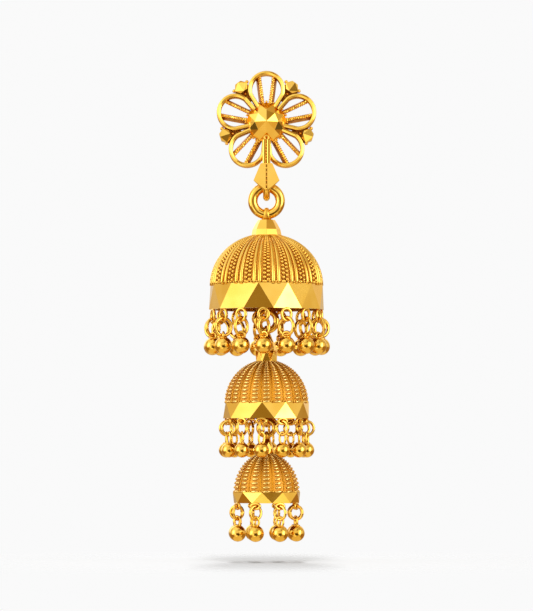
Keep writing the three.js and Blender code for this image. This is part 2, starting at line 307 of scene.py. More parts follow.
def gold(name, light, warm, deep, roughness, recess_shade, bump, bump_scale, metallic=1.0):
    """Gold: two tones that drift into each other, a deeper tone painted into the recesses as shade, fine
    scratches in the bump and small changes of polish."""
    material = bpy.data.materials.new(name)
    material.use_nodes = True
    nodes, links = material.node_tree.nodes, material.node_tree.links
    shader = nodes["Principled BSDF"]
    shader.inputs["Metallic"].default_value = metallic

    place = nodes.new("ShaderNodeTexCoord")
    in_mm = nodes.new("ShaderNodeMapping")
    in_mm.inputs["Scale"].default_value = (1 / MM, 1 / MM, 1 / MM)
    links.new(place.outputs["Object"], in_mm.inputs["Vector"])

    def noise(scale, detail):
        node = nodes.new("ShaderNodeTexNoise")
        node.inputs["Scale"].default_value = scale
        node.inputs["Detail"].default_value = detail
        links.new(in_mm.outputs["Vector"], node.inputs["Vector"])
        return node.outputs["Fac"]

    def spread(source, low, high, start=0.35, end=0.65):
        node = nodes.new("ShaderNodeMapRange")
        node.inputs["From Min"].default_value = start
        node.inputs["From Max"].default_value = end
        node.inputs["To Min"].default_value = low
        node.inputs["To Max"].default_value = high
        links.new(source, node.inputs["Value"])
        return node.outputs["Result"]

    def blend(factor, first, second):
        node = nodes.new("ShaderNodeMix")
        node.data_type = "RGBA"
        links.new(factor, node.inputs["Factor"])
        for socket, colour in (("A", first), ("B", second)):
            target = [i for i in node.inputs if i.name == socket and i.type == "RGBA"][0]
            if isinstance(colour, tuple):
                target.default_value = (*colour, 1.0)
            else:
                links.new(colour, target)
        return [o for o in node.outputs if o.type == "RGBA"][0]

    tone = blend(spread(noise(FINISH.tone_scale, 2.0), 0.0, 1.0), light, warm)
    # Painted shade: where ambient occlusion finds a recess, the base colour is mixed towards the deep
    # tone.
    open_to_light = nodes.new("ShaderNodeAmbientOcclusion")
    open_to_light.samples = 4
    open_to_light.inputs["Distance"].default_value = FINISH.recess_shade_reach * MM
    shade = spread(open_to_light.outputs["AO"], recess_shade, 0.0, *FINISH.recess_shade)
    links.new(blend(shade, tone, deep), shader.inputs["Base Color"])
    polish = spread(noise(FINISH.polish_scale, 3.0), roughness * FINISH.shinier, roughness * FINISH.duller)
    links.new(polish, shader.inputs["Roughness"])
    relief = nodes.new("ShaderNodeBump")
    relief.inputs["Strength"].default_value = bump
    relief.inputs["Distance"].default_value = FINISH.scratch * MM
    links.new(noise(bump_scale, 4.0), relief.inputs["Height"])
    links.new(relief.outputs["Normal"], shader.inputs["Normal"])
    return material


# Tones of gold. The pale tone is a painted highlight; the amber, brown, deep and burnt tones are painted
# shade.
PALE_LIT_GOLD = (0.90, 0.64, 0.20)
LIGHT_GOLD = (0.88, 0.56, 0.11)
WARM_GOLD = (0.82, 0.49, 0.075)
ORANGE_GOLD = (0.72, 0.36, 0.035)
RECESS_SHADE_GOLD = (0.66, 0.26, 0.015)
AMBER_SHADE_GOLD = (0.52, 0.24, 0.02)
BROWN_SHADE_GOLD = (0.57, 0.245, 0.014)
DARK_RECESS_SHADE_GOLD = (0.34, 0.12, 0.005)
SHEEN = 0.55  # how metallic the matte sheets are

# Light, warm and deep tone (the deep one is painted shade in the recesses), roughness, how strong that
# painted recess shade gets, bump, its scale, how metallic.
cut_gold = gold("diamond_cut_gold", LIGHT_GOLD, WARM_GOLD, RECESS_SHADE_GOLD, 0.07, 0.3, 0.12, 9.0)
bead_gold = gold("polished_bead_gold", LIGHT_GOLD, WARM_GOLD, RECESS_SHADE_GOLD, 0.09, 0.8, 0.10, 7.0)
wire_gold = gold("drawn_wire_gold", LIGHT_GOLD, WARM_GOLD, RECESS_SHADE_GOLD, 0.16, 0.75, 0.25, 12.0)
grain_gold = gold("grain_gold", LIGHT_GOLD, WARM_GOLD, RECESS_SHADE_GOLD, 0.18, 0.9, 0.25, 14.0)
# Painted highlight: the coil grains are a paler copy of the gold, so their crests read as lit.
lit_dash_gold = gold("wound_wire_gold", PALE_LIT_GOLD, PALE_LIT_GOLD, RECESS_SHADE_GOLD, 0.24, 0.95, 0.3, 12.0)
# Painted shade: a brown, rough copy of the gold for the wires in the dome grooves and for the spoke
# plates.
groove_shade_gold = gold("groove_wire_gold", BROWN_SHADE_GOLD, BROWN_SHADE_GOLD, DARK_RECESS_SHADE_GOLD, 0.42, 0.9, 0.4, 12.0)
satin_gold = gold("satin_wire_gold", WARM_GOLD, ORANGE_GOLD, RECESS_SHADE_GOLD, 0.38, 0.9, 0.4, 12.0)
# Painted shade: darker copies of the gold for the sheet between the dome wires and for the notch plates,
# browner on the smaller domes.
shade_sheet_gold = gold("matte_sheet_gold", AMBER_SHADE_GOLD, AMBER_SHADE_GOLD, DARK_RECESS_SHADE_GOLD, 0.5, 0.8, 0.6, 10.0, SHEEN)
deep_sheet_gold = gold("deep_sheet_gold", BROWN_SHADE_GOLD, BROWN_SHADE_GOLD, DARK_RECESS_SHADE_GOLD, 0.5, 0.8, 0.6, 10.0, SHEEN)

BEVEL_FROM = 4  # degrees between two faces


def piece(name, body, shape, material, sharp=180, bevel=0.0, stands_for=()):
    """Makes the object, smooth but for edges sharper than the angle, on its body. bevel is a width."""
    mesh = bpy.data.meshes.new(name)
    mesh.from_pydata((np.vstack(shape.points) * MM).tolist(), [], shape.faces)
    tidy = bmesh.new()
    tidy.from_mesh(mesh)
    bmesh.ops.recalc_face_normals(tidy, faces=tidy.faces)
    tidy.to_mesh(mesh)
    tidy.free()
    mesh.shade_smooth()
    mesh.set_sharp_from_angle(angle=math.radians(sharp))
    mesh.materials.append(material)
    made = bpy.data.objects.new(name, mesh)
    bpy.context.collection.objects.link(made)
    if bevel:
        edges = made.modifiers.new("worn_edges", "BEVEL")
        edges.width = bevel * MM
        edges.segments = 2
        edges.limit_method = "ANGLE"
        edges.angle_limit = math.radians(BEVEL_FROM)
        edges.harden_normals = True
    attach(made, body)
    if stands_for:
        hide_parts(*stands_for)
    return made


# ---- The stud: (right, up, forward) points round the flower's centre ----

def facing(points):
    """Points given as right, up and forward, in the frame's axes."""
    points = np.asarray(points, float)
    return np.stack([points[:, 0], -points[:, 2], points[:, 1]], axis=1)


def turned(points, angle):
    """Points turned in the flower's plane."""
    points = np.asarray(points, float)
    c, s = math.cos(angle), math.sin(angle)
    right = points[:, 0] * c - points[:, 1] * s
    up = points[:, 0] * s + points[:, 1] * c
    return np.stack([right, up, points[:, 2]], axis=1)


def petal_turns():
    return [QUARTER + i * TAU / STUD.petals for i in range(STUD.petals)]


def notch_turns():
    """The notches between the petals, but for the one that the kite fills."""
    turns = [QUARTER + (i + 0.5) * TAU / STUD.petals for i in range(STUD.petals)]
    return [turn for turn in turns if abs(turn - 1.5 * math.pi) > 0.1]


def petal_strip(section):
    """A strip with a section of (outward, forward) points, bent round a petal's outline."""
    radius = STUD.radius - STUD.wall / 2
    half = STUD.root_half - STUD.wall / 2
    arc = np.linspace(-STUD.round_end * QUARTER, STUD.round_end * QUARTER, 44)
    start = STUD.root + STUD.wall / 2
    outline = [(STUD.reach + radius * math.cos(a), radius * math.sin(a)) for a in arc]
    low, high = outline[0], outline[-1]
    left, right = np.array((start, half)), np.array((start, -half))
    side = [np.array(high) + (left - high) * t for t in np.linspace(STUD.side_start, 1, 8)]
    back = [right + (low - right) * t for t in np.linspace(0, 1 - STUD.side_start, 8)]
    path = np.array([*outline, *side, *back])
    step = np.roll(path, -1, axis=0) - np.roll(path, 1, axis=0)
    out = np.stack([step[:, 1], -step[:, 0]], axis=1)
    out /= np.linalg.norm(out, axis=1, keepdims=True)
    points = [(*(at + normal * across), forward)
              for at, normal in zip(path, out) for across, forward in section]
    return points, grid(len(path), len(section), wrap_rows=True)


def flower_petals(section):
    shape = Shape()
    points, faces = petal_strip(section)
    for turn in petal_turns():
        shape.add(facing(turned(points, turn)), faces)
    return shape


def flower_spokes():
    """Each spoke is a thin plate on edge with a twisted wire along its front."""
    plates, strands = Shape(), Shape()
    length = STUD.reach + STUD.radius - STUD.wall - STUD.root
    along = np.linspace(0, length, 70)
    twist = along * TAU / STUD.strand_pitch
    swing = STUD.strand_swing * STUD.strand
    for turn in petal_turns():
        for side in (-1, 1):
            lean = side * STUD.spoke_tilt

            def place(points):
                points = turned(points - (length / 2, 0, 0), lean)
                return facing(turned(points + (STUD.root + length / 2, side * STUD.spoke_offset, 0), turn))

            w, d = STUD.spoke_width / 2, STUD.spoke_depth
            plate = [(x, y + side * lean_out, z) for x in (0, length) for y in (-w, w)
                     for z, lean_out in ((STUD.spoke_back, STUD.spoke_lean), (d, 0))]
            plates.add(*hull(place(np.array(plate))))
            for phase in (0, math.pi):
                across = swing * np.cos(twist + phase)
                forward = d + STUD.strand + swing * np.sin(twist + phase)
                strand = np.stack([along, across, forward], axis=1)
                strands.add(*tube(place(strand), STUD.strand, 7))
    return plates, strands


def flower_accents():
    """The cut studs in the notches: two facets that meet in a ridge along the notch."""
    shape = Shape()
    half, r, reach = STUD.accent_half, STUD.accent_radius, STUD.accent_reach
    root, tip = half * STUD.accent_root, half * STUD.accent_tip
    outline = [(reach - r, -root), (reach - r, root), (reach, half),
               (reach + r, tip), (reach + r, -tip), (reach, -half)]
    cut = [(x, y, z) for x, y in outline for z in (STUD.accent_back, STUD.accent_foot)]
    cut += [(reach - r, 0, STUD.accent_point), (reach + r, 0, STUD.accent_point)]
    for turn in notch_turns():
        shape.add(*hull(facing(turned(cut, turn))))
    return shape


def notch_plates():
    """The plates that fill the notches behind the cut studs."""
    shape = Shape()
    root = STUD.reach * math.cos(math.pi / STUD.petals)
    half, r, reach = STUD.accent_half, STUD.accent_radius, STUD.accent_reach
    wedge = [(root, STUD.wall * STUD.wedge_root), (reach - r, half * STUD.wedge_tip), (reach, half)]
    plate = [(x, y * side, z) for x, y in wedge for side in (-1, 1)
             for z in (STUD.wedge_back, STUD.wedge_depth)]
    for turn in notch_turns():
        shape.add(*hull(facing(turned(plate, turn))))
    return shape


def flower_grains():
    """Small grains beside each cut stud and behind it, and round the foot of the boss."""
    shape = Shape()
    reach, half = STUD.accent_reach, STUD.accent_half
    spots = [(reach + out, side * half, forward) for out, side, forward in STUD.grain_spots]
    for turn in notch_turns():
        add_grains(shape, facing(turned(spots, turn)), STUD.grain)
    foot = np.arange(STUD.foot_grains) * TAU / STUD.foot_grains
    r = STUD.foot_circle
    ring = [(r * math.cos(a), r * math.sin(a), BOSS.girdle - STUD.foot_depth) for a in foot]
    return add_grains(shape, facing(ring), STUD.foot_grain, 8, 6)


def flower_boss():
    rows = [(BOSS.sides * 2, BOSS.radius, BOSS.back), (BOSS.sides * 2, BOSS.radius, BOSS.girdle),
            (BOSS.sides, BOSS.crown_radius, BOSS.crown)]
    points = [(r * math.cos(a), r * math.sin(a), forward)
              for sides, r, forward in rows
              for a in QUARTER + np.arange(sides) * TAU / sides]
    points.append((0, 0, BOSS.point))
    return Shape().add(*hull(facing(points)))


def stem_and_kite():
    """Two wires down between the lower petals, then a plate cut to a ridge with a seam down it."""
    shape = Shape()
    wire = KITE.stem / 3
    for side in (-1, 1):
        heights = np.linspace(KITE.wires_start, KITE.top - KITE.wires_lap, 8)
        shape.add(*tube([(side * wire * 1.05, KITE.stem_front, z) for z in heights], wire, 12))
    sheet = KITE.stem * KITE.stem_sheet
    block = [(x, y, z) for x in (-sheet, sheet) for y in (KITE.stem_back, KITE.stem_front)
             for z in (KITE.sheet_start, KITE.top - KITE.sheet_lap)]
    shape.add(*hull(block))
    rows = [(KITE.top, KITE.stem, 0.45), (KITE.widest, KITE.half, 1), (KITE.tip, KITE.stem / 2, 0.55)]
    for side in (-1, 1):
        half_plate = []
        for z, half, share in rows:
            ridge = KITE.edge + (KITE.ridge - KITE.edge) * share
            half_plate += [(half * side, KITE.back, z), (half * side, KITE.edge, z),
                           (KITE.seam * side, ridge, z), (KITE.seam * side, KITE.back, z)]
        shape.add(*hull(half_plate))
    core = [(x, y, z) for z, _, _ in rows for x in (-KITE.seam, KITE.seam)
            for y in (KITE.back, KITE.edge + KITE.seam_sunk)]
    return shape.add(*hull(core))


def kite_grains():
    """The row of grains in the seam of the kite and of its stem, and the eye under the boss."""
    shape = Shape()
    heights = np.arange(KITE.top - KITE.grain_room, KITE.tip, -KITE.grain_pitch)
    add_grains(shape, [(0, KITE.edge - KITE.grain_proud, z) for z in heights], KITE.grain)
    heights = np.arange(KITE.grains_start, KITE.top + KITE.stem_grain_room, -KITE.stem_grain_pitch)
    add_grains(shape, [(0, KITE.stem_front - KITE.stem_grain_proud, z) for z in heights], KITE.stem_grain)
    eye = circle((0, KITE.stem_front - KITE.eye_proud, KITE.eye), KITE.eye_reach, (1, 0, 0), (0, 0, 1), 24)
    return shape.add(*tube(eye, KITE.eye_wire, 10, closed=True))


def hook_ring(tier):
    """The hook or eye that a tier's ring hangs in, round the top of that ring."""
    top = tier.centre + (0, 0, tier.ring_reach)
    reach = tier.ring_wire + tier.play + tier.hook_wire
    return tube(circle(top, reach, (0, 1, 0), (0, 0, 1), 44), tier.hook_wire, 16, closed=True)


def make_stud():
    w, d, crest = STUD.wall / 2, STUD.depth, STUD.crest * STUD.wall / 2
    shoulder, shelf, foot = d - STUD.shoulder, d - STUD.shelf, d - STUD.cut_foot
    strip = [(-w, 0.0), (w, 0.0), (w, shoulder), (crest, shelf), (-crest, shelf), (-w, shoulder)]
    piece("flower_petals", "stud", flower_petals(strip), satin_gold, sharp=30, stands_for=("flower_stud",))
    cut = [(-crest, foot), (crest, foot), (crest, d - STUD.cut_right), (STUD.cut_peak * crest, d),
           (-crest, d - STUD.cut_left)]
    piece("flower_petal_crests", "stud", flower_petals(cut), wire_gold, sharp=45)
    plates, strands = flower_spokes()
    # The spoke plates are the brown copy of the gold: painted shade on the spokes' sides.
    piece("flower_spoke_plates", "stud", plates, groove_shade_gold, sharp=50)
    piece("flower_spoke_wires", "stud", strands, wire_gold, sharp=50)
    piece("flower_cut_studs", "stud", flower_accents(), cut_gold, sharp=5)
    # The notch plates are the darker sheet gold: painted shade behind the cut studs.
    piece("flower_notch_plates", "stud", notch_plates(), shade_sheet_gold, sharp=30)
    piece("flower_grains", "stud", flower_grains(), grain_gold)
    piece("flower_boss", "stud", flower_boss(), cut_gold, sharp=5, bevel=0.03)
    piece("kite_link", "stud", stem_and_kite(), cut_gold, sharp=30)
    piece("kite_grains", "stud", kite_grains(), grain_gold)
    piece("stud_hook", "stud", Shape().add(*hook_ring(TIERS[0])), bead_gold)


def make_post():
    """A plain tapering pin with a rounded end, along +Y."""
    radius, length, _ = np.array(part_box("ear_post")[1]) / MM
    shank = length * POST.shank
    taper = [(radius + (POST.taper - 1) * radius * t, length * t) for t in np.linspace(0, POST.shank, 12)]
    tip = [(radius * POST.taper * math.cos(a), shank + (length - shank) * math.sin(a))
           for a in np.linspace(*POST.tip, 6)]
    points, faces = lathe([(0, 0), *taper, *tip, (0, length)], 32)
    shape = Shape().add(np.stack([points[:, 0], points[:, 2], points[:, 1]], axis=1), faces)
    piece("ear_post_pin", "stud", shape, bead_gold, sharp=40, stands_for=("ear_post",))


# ---- The tiers ----

def measure(tier):
    """Adds a tier's centre, from its ring's box, and the heights that follow from its sizes."""
    low, high = (np.array(corner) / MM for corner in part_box(tier.ring))
    tier.centre = (low + high) / 2
    tier.ring_wire = (high[1] - low[1]) / 2 / math.cos(math.pi / RING_SIDES)
    tier.ring_reach = (high[0] - low[0]) / 2 - tier.ring_wire
    tier.strap = tier.centre[2] - tier.ring_reach
    tier.finial = tier.strap - tier.ring_wire - tier.play - tier.strap_wall / 2
    tier.top = tier.finial - tier.finial_height
    tier.base = tier.top - tier.dome_height
    tier.rim = tier.base - tier.band_height


def on_axis(tier, points):
    """Points given round the Z axis, moved to the tier's own."""
    return np.asarray(points, float) + (tier.centre[0], tier.centre[1], 0)


def strap(tier):
    """The sheet strap that loops round the bottom of the ring and widens towards the cap."""
    inner = tier.ring_wire + STRAP.gap
    w, half = STRAP.sheet, tier.strap_width / 2
    bow = np.linspace(-QUARTER, QUARTER, 9)
    profile = [(inner + w * (1 - STRAP.bow + STRAP.bow * math.cos(a)), half * math.sin(a)) for a in bow]
    profile += [(inner, half * STRAP.edge), (inner, -half * STRAP.edge)]
    points, faces = lathe(profile, 40)
    lowness = (1 - points[:, 1] / np.hypot(points[:, 0], points[:, 1])) / 2
    across = points[:, 2] * (STRAP.top + STRAP.flare * lowness ** 4)
    placed = np.stack([across, points[:, 0], points[:, 1] + tier.strap], axis=1)
    return Shape().add(on_axis(tier, placed), faces)


def finial(tier):
    """The faceted cap on the dome, up to just under the ring."""
    half_facet = TAU / (2 * FINIAL.sides)
    corners = []
    start = tier.strap - tier.ring_wire - STRAP.gap
    rows = ((0, 0), FINIAL.shoulder, (FINIAL.waist, tier.finial_swell), (1, 1))
    for row, (share, swell) in enumerate(rows):
        r = tier.finial_top + (tier.finial_radius - tier.finial_top) * swell
        z = start + (tier.top - FINIAL.foot - start) * share
        corners += [*polygon(FINIAL.sides, r, z, row * half_facet * tier.finial_weave)]
    points, faces = hull(corners)
    return Shape().add(on_axis(tier, points), faces)


def dome_curve(tier, inset, steps):
    """Radius and height of a dome's section, from its foot up to under the finial."""
    radius, rise = tier.radius - inset, tier.crown_rise - inset
    end = math.acos(min(1, tier.finial_radius * DOME.under_finial / radius))
    angle = np.linspace(0, end, steps)
    return np.stack([radius * np.cos(angle), tier.base + rise * np.sin(angle)], axis=1)


def gore_width(tier):
    """Width of one gore at the foot of the dome."""
    return TAU * tier.radius / tier.gores


def up_dome(tier, inset, turn, steps):
    """A line up the dome: its points, and at each one the directions up the dome and outwards, and
    the size there as a share of the size at the foot."""
    section = dome_curve(tier, inset, steps)
    r, z = section[:, 0], section[:, 1]
    line = on_axis(tier, np.stack([r * math.sin(turn), -r * math.cos(turn), z], axis=1))
    rise = np.gradient(line, axis=0)
    rise /= np.linalg.norm(rise, axis=1, keepdims=True)
    side = np.array([math.cos(turn), math.sin(turn), 0.0])
    return line, rise, side, np.cross(side, rise), np.maximum(r / tier.radius, DOME.least_size)


def gores(tier, offset):
    """The turn of each gore's middle, offset sideways by a share of the gore."""
    return [(i + offset) * TAU / tier.gores for i in range(tier.gores)]


def dome_shell(tier):
    """The sheet that the wires are soldered on, and its lining down to the rim."""
    depth = gore_width(tier) * tier.sheet_depth
    bore = tier.radius - tier.wall
    foot = tier.rim + DOME.above_rim
    outer = dome_curve(tier, depth, 20)
    inner = dome_curve(tier, tier.wall + DOME.sheet, 16)
    lining = [(bore + DOME.lining, tier.base), (bore + DOME.lining, foot), (bore, foot), (bore, tier.base)]
    top = (0, tier.top - DOME.below_top)
    inner_top = (0, tier.base + tier.crown_rise - tier.wall - DOME.sheet)
    profile = [top, *outer[::-1], *lining, *inner, inner_top]
    points, faces = lathe(profile, tier.gores * 4)
    return Shape().add(on_axis(tier, points), faces)


def dome_wires(tier):
    """The smooth wires on the seams between the gores: a pair, or one thick one."""
    shape = Shape()
    width = gore_width(tier)
    wire = width * tier.wire
    for side in tier.wire_sides:
        for turn in gores(tier, 0.5 + side * tier.wire):
            line, _, _, _, size = up_dome(tier, width * tier.wire_depth, turn, 24)
            shape.add(*tube(line, wire * size ** tier.wire_taper, 10))
    return shape


def dome_grains(tier):
    """Each gore's middle: columns of grains, round ones in a braid or flat ones like a wound coil."""
    shape = Shape()
    width = gore_width(tier)
    points, faces = ball(*tier.grain_mesh)
    for column, side in enumerate(tier.grain_sides):
        half = width * tier.grain_half
        tall, deep = width * tier.grain_tall, width * tier.grain_deep
        lean = math.radians(tier.grain_lean)
        for turn in gores(tier, side):
            line, rise, across, out, size = up_dome(tier, deep, turn, 400)
            gone = np.concatenate([[0], np.cumsum(np.linalg.norm(np.diff(line, axis=0), axis=1))])
            at = tall * (1.0 + column)
            while at < gone[-1]:
                i = int(np.searchsorted(gone, at))
                wide = across * math.cos(lean) + rise[i] * math.sin(lean)
                high = rise[i] * math.cos(lean) - across * math.sin(lean)
                grain = points[:, :1] * wide * half + points[:, 1:2] * high * tall
                grain = grain + points[:, 2:] * out[i] * deep
                shape.add(grain * size[i] + line[i], faces)
                at += tier.grain_pitch * tall * size[i]
    return shape


def collar(tier):
    """The row of grains round the foot of the dome."""
    grain = tier.collar * COLLAR.grain
    r = tier.radius - tier.collar_inset - grain
    count = int(TAU * r / (COLLAR.pitch * grain))
    row = circle((0, 0, tier.base + COLLAR.foot + grain), r, (0, -1, 0), (1, 0, 0), count)
    return add_grains(Shape(), on_axis(tier, row), grain, 10, 6)


def facet_band(tier):
    """The diamond-cut band: triangles that point up and down in turn, round a plain bore."""
    n = tier.facets
    turn = math.radians(tier.facet_turn)
    between = turn + math.pi / n
    top = tier.base + DOME.band_lap
    bore = tier.radius - tier.wall + DOME.lining
    points = [*polygon(n, tier.band_top, top, turn), *polygon(n, tier.rim_radius, tier.rim, between),
              *polygon(n, bore, tier.rim, between), *polygon(n, bore, top, between)]
    faces = [(i, n + i, (i + 1) % n) for i in range(n)]
    faces += [(n + i, n + (i + 1) % n, (i + 1) % n) for i in range(n)]
    for i in range(n):
        beside = (i + 1) % n
        faces.append((n + i, n + beside, 2 * n + beside, 2 * n + i))
        faces.append((2 * n + i, 2 * n + beside, 3 * n + beside, 3 * n + i))
        faces.append((3 * n + i, 3 * n + beside, beside))
        faces.append((i, beside, 3 * n + i))
    return Shape().add(on_axis(tier, points), faces)


def oval_wire(half, top, low, wire):
    """A wire bent into an upright oval."""
    turn = (np.arange(30) * TAU / 30)[:, None]
    middle, reach = (top + low) / 2, (top - low) / 2
    path = np.hstack([half * np.cos(turn), 0 * turn, middle + reach * np.sin(turn)])
    return tube(path, wire, 10, closed=True)


def at_rim(tier, points, index, extra=0.0):
    """Points given round a drop's own axis, placed on the rim and facing outwards."""
    angle = math.radians(tier.bead_turn + index * 360 / tier.beads)
    c, s = math.cos(angle + extra), math.sin(angle + extra)
    points = np.asarray(points, float)
    right = points[:, 0] * c - points[:, 1] * s
    back = points[:, 0] * s + points[:, 1] * c
    r = tier.drop_circle
    place = (r * math.sin(angle), -r * math.cos(angle), tier.rim)
    return on_axis(tier, np.stack([right, back, points[:, 2]], axis=1) + place)


def rim_eyes(tier):
    shape = Shape()
    wire = tier.link_wire
    eye_top = -DROP.eye_sunk * wire
    points, faces = oval_wire(tier.eye_half, eye_top, wire - tier.eye_depth, wire * DROP.eye_wire)
    for i in range(tier.beads):
        shape.add(at_rim(tier, points, i), faces)
    return shape


def hanger(tier, below):
    """Inside the dome: the stem from the crown and the eye that the next ring hangs in."""
    shape = Shape().add(*hook_ring(below))
    eye_top = below.centre[2] + below.ring_reach + below.ring_wire + below.play + below.hook_wire
    stem = [(tier.centre[0], tier.centre[1], z) for z in np.linspace(tier.top, eye_top, 12)]
    return shape.add(*tube(stem, below.hook_wire, 16))


def bead_drop(tier, index):
    """A link, the bead's loop and the bead. Each link and loop is turned a little its own way."""
    shape = Shape()
    wire = tier.link_wire
    link_top = -tier.eye_depth + 2 * wire + DROP.link_room
    link_turn = DROP.link_swing * math.sin(2.3 * index + len(tier.name))
    loop_turn = DROP.loop_swing * math.sin(3.7 * index + 1)
    loop_top = link_top - 2 * tier.link + DROP.loop_hold * wire
    loop_low = -tier.bead_top - DROP.loop_sunk
    round_link = circle((0, 0, link_top - tier.link), tier.link, (0, 1, 0), (0, 0, 1), 36)
    points, faces = tube(round_link, wire, 12, closed=True)
    shape.add(at_rim(tier, points, index, link_turn), faces)
    points, faces = oval_wire(tier.bead_radius * DROP.loop_half, loop_top, loop_low, wire * DROP.loop_wire)
    shape.add(at_rim(tier, points, index, loop_turn), faces)
    points, faces = ball(36, 22)
    bead = points * tier.bead_radius - (0, 0, tier.bead_top + tier.bead_radius)
    shape.add(at_rim(tier, bead, index), faces)
    collar_centre = (0, 0, -tier.bead_top - DROP.collar_sunk)
    round_collar = circle(collar_centre, tier.bead_radius * DROP.collar, (1, 0, 0), (0, 1, 0), 20)
    points, faces = tube(round_collar, DROP.collar_wire, 8, closed=True)
    return shape.add(at_rim(tier, points, index), faces)


def make_tier(tier, below):
    """One tier and the ring that it hangs on. Inside it is the eye for the tier below."""
    name, body = tier.name, tier.body
    ring = circle(tier.centre, tier.ring_reach, (1, 0, 0), (0, 0, 1), 64)
    ring = Shape().add(*tube(ring, tier.ring_wire, 24, closed=True))
    piece(f"{tier.ring}_wire", tier.link_body, ring, bead_gold, stands_for=(tier.ring,))
    large = tier is TIERS[0]
    # The dome sheet is a darker gold, browner on the smaller domes: painted shade in the grooves between
    # the wires.
    sheet = shade_sheet_gold if large else deep_sheet_gold
    piece(f"{name}_dome_sheet", body, dome_shell(tier), sheet, sharp=60, stands_for=(f"{name}_dome",))
    piece(f"{name}_strap", body, strap(tier), satin_gold, sharp=60)
    piece(f"{name}_finial", body, finial(tier), cut_gold, sharp=15, bevel=0.02)
    # On the smaller domes the seam wires are the brown copy of the gold: painted shade in the grooves.
    piece(f"{name}_dome_wires", body, dome_wires(tier), wire_gold if large else groove_shade_gold)
    # The smaller domes' grains take the paler copy of the gold: a painted highlight.
    piece(f"{name}_dome_grains", body, dome_grains(tier), grain_gold if large else lit_dash_gold)
    piece(f"{name}_collar_grains", body, collar(tier), grain_gold)
    piece(f"{name}_cut_band", body, facet_band(tier), cut_gold, sharp=1)
    piece(f"{name}_rim_eyes", body, rim_eyes(tier), wire_gold)
    if below:
        piece(f"{name}_hanger", body, hanger(tier, below), wire_gold)
    for i in range(tier.beads):
        node = f"{name}_drop_{i + 1:02d}"
        piece(f"{node}_bead", body, bead_drop(tier, i), bead_gold, stands_for=(node,))


# ---- Studio, in metres ----

CAMERA = SimpleNamespace(distance=0.445, height=-0.040, frame_height=0.0735, sensor=36, near=0.01)
FLOOR = SimpleNamespace(
    below=0.0025, radius=0.15, sides=96, colour=(0.178, 0.180, 0.184), glow=0.205,
    fade_from=0.014, fade_to=0.054,
)
BACKDROP = 0.955  # how white the surround is
# Strips of light over the floor, each along Y: how far behind the earring, and the power.
STRIP = SimpleNamespace(width=0.03, length=0.24, height=0.3)
STRIPS = (("front_strip", -0.2, 2.1), ("top_strip", 0.0, 0.8), ("back_strip", 0.2, 2.1))


def look_at(thing, place, target):
    thing.location = place
    thing.rotation_euler = (Vector(target) - Vector(place)).to_track_quat("-Z", "Y").to_euler()


def make_camera(middle):
    lens = bpy.data.cameras.new("camera")
    lens.sensor_fit = "VERTICAL"
    lens.sensor_height = CAMERA.sensor
    lens.lens = lens.sensor_height * CAMERA.distance / CAMERA.frame_height
    lens.clip_start = CAMERA.near
    camera = bpy.data.objects.new("camera", lens)
    bpy.context.collection.objects.link(camera)
    look_at(camera, (middle.x, middle.y - CAMERA.distance, CAMERA.height), middle)
    bpy.context.scene.camera = camera


# What the gold mirrors, in degrees from the front and above the horizon: the middle and the half
# width of each patch across and up, how soft its edge is, and its colour.
PATCHES = [
    ((0, 75), (180, 40), 15, (0.95, 0.95, 0.90)),
    ((-60, 60), (50, 24), 12, (1.25, 1.25, 1.2)),
    ((100, 62), (50, 22), 12, (0.70, 0.54, 0.32)),
    ((0, -65), (180, 38), 10, (0.98, 0.80, 0.52)),
    ((105, -24), (45, 20), 6, (0.44, 0.24, 0.08)),
    ((-105, -24), (45, 20), 6, (0.44, 0.24, 0.08)),
    ((0, 5), (58, 24), 6, (1.18, 1.12, 1.02)),
    ((88, 12), (26, 14), 5, (1.02, 0.92, 0.72)),
    ((-106, 12), (22, 13), 5, (0.92, 0.80, 0.60)),
    ((28, 49), (12, 12), 4, (0.46, 0.34, 0.16)),
    ((-18, -36), (14, 6), 3, (1.7, 1.6, 1.35)),
    ((13, -33), (8, 6), 3, (0.30, 0.22, 0.10)),
    ((-34, -18), (8, 8), 3, (1.8, 1.8, 1.7)),
    ((52, 12), (17, 28), 3, (2.0, 2.0, 2.0)),
    ((-64, 12), (26, 28), 4, (1.8, 1.8, 1.8)),
    ((53, 4), (13, 13), 3, (5.0, 5.0, 5.0)),
    ((62, 22), (9, 11), 3, (5.0, 5.0, 5.0)),
    ((-63, 13), (10, 14), 3, (4.5, 4.5, 4.5)),
    ((30, -17), (8, 8), 3, (0.30, 0.22, 0.10)),
    ((150, 25), (16, 22), 6, (1.15, 1.0, 0.75)),
    ((-150, 25), (16, 22), 6, (1.8, 1.8, 1.8)),
    ((-2, -10), (20, 17), 3, (0.39, 0.27, 0.10)),
    ((14, 4), (9, 8), 3, (0.36, 0.26, 0.10)),
    ((6, -16), (16, 11), 3, (0.05, 0.03, 0.01)),
    ((50, 34), (6, 6), 2, (1.15, 0.95, 0.60)),
    ((53, -14), (6, 4), 2, (0.85, 0.62, 0.30)),
    ((-53, -14), (6, 4), 2, (0.85, 0.62, 0.30)),
    ((83, -18), (5, 5), 2, (0.15, 0.12, 0.07)),
    ((-83, -18), (5, 5), 2, (0.15, 0.12, 0.07)),
    ((60, -27), (5, 4), 2, (1.5, 1.35, 1.0)),
]
SURROUND = (0.58, 0.45, 0.27)


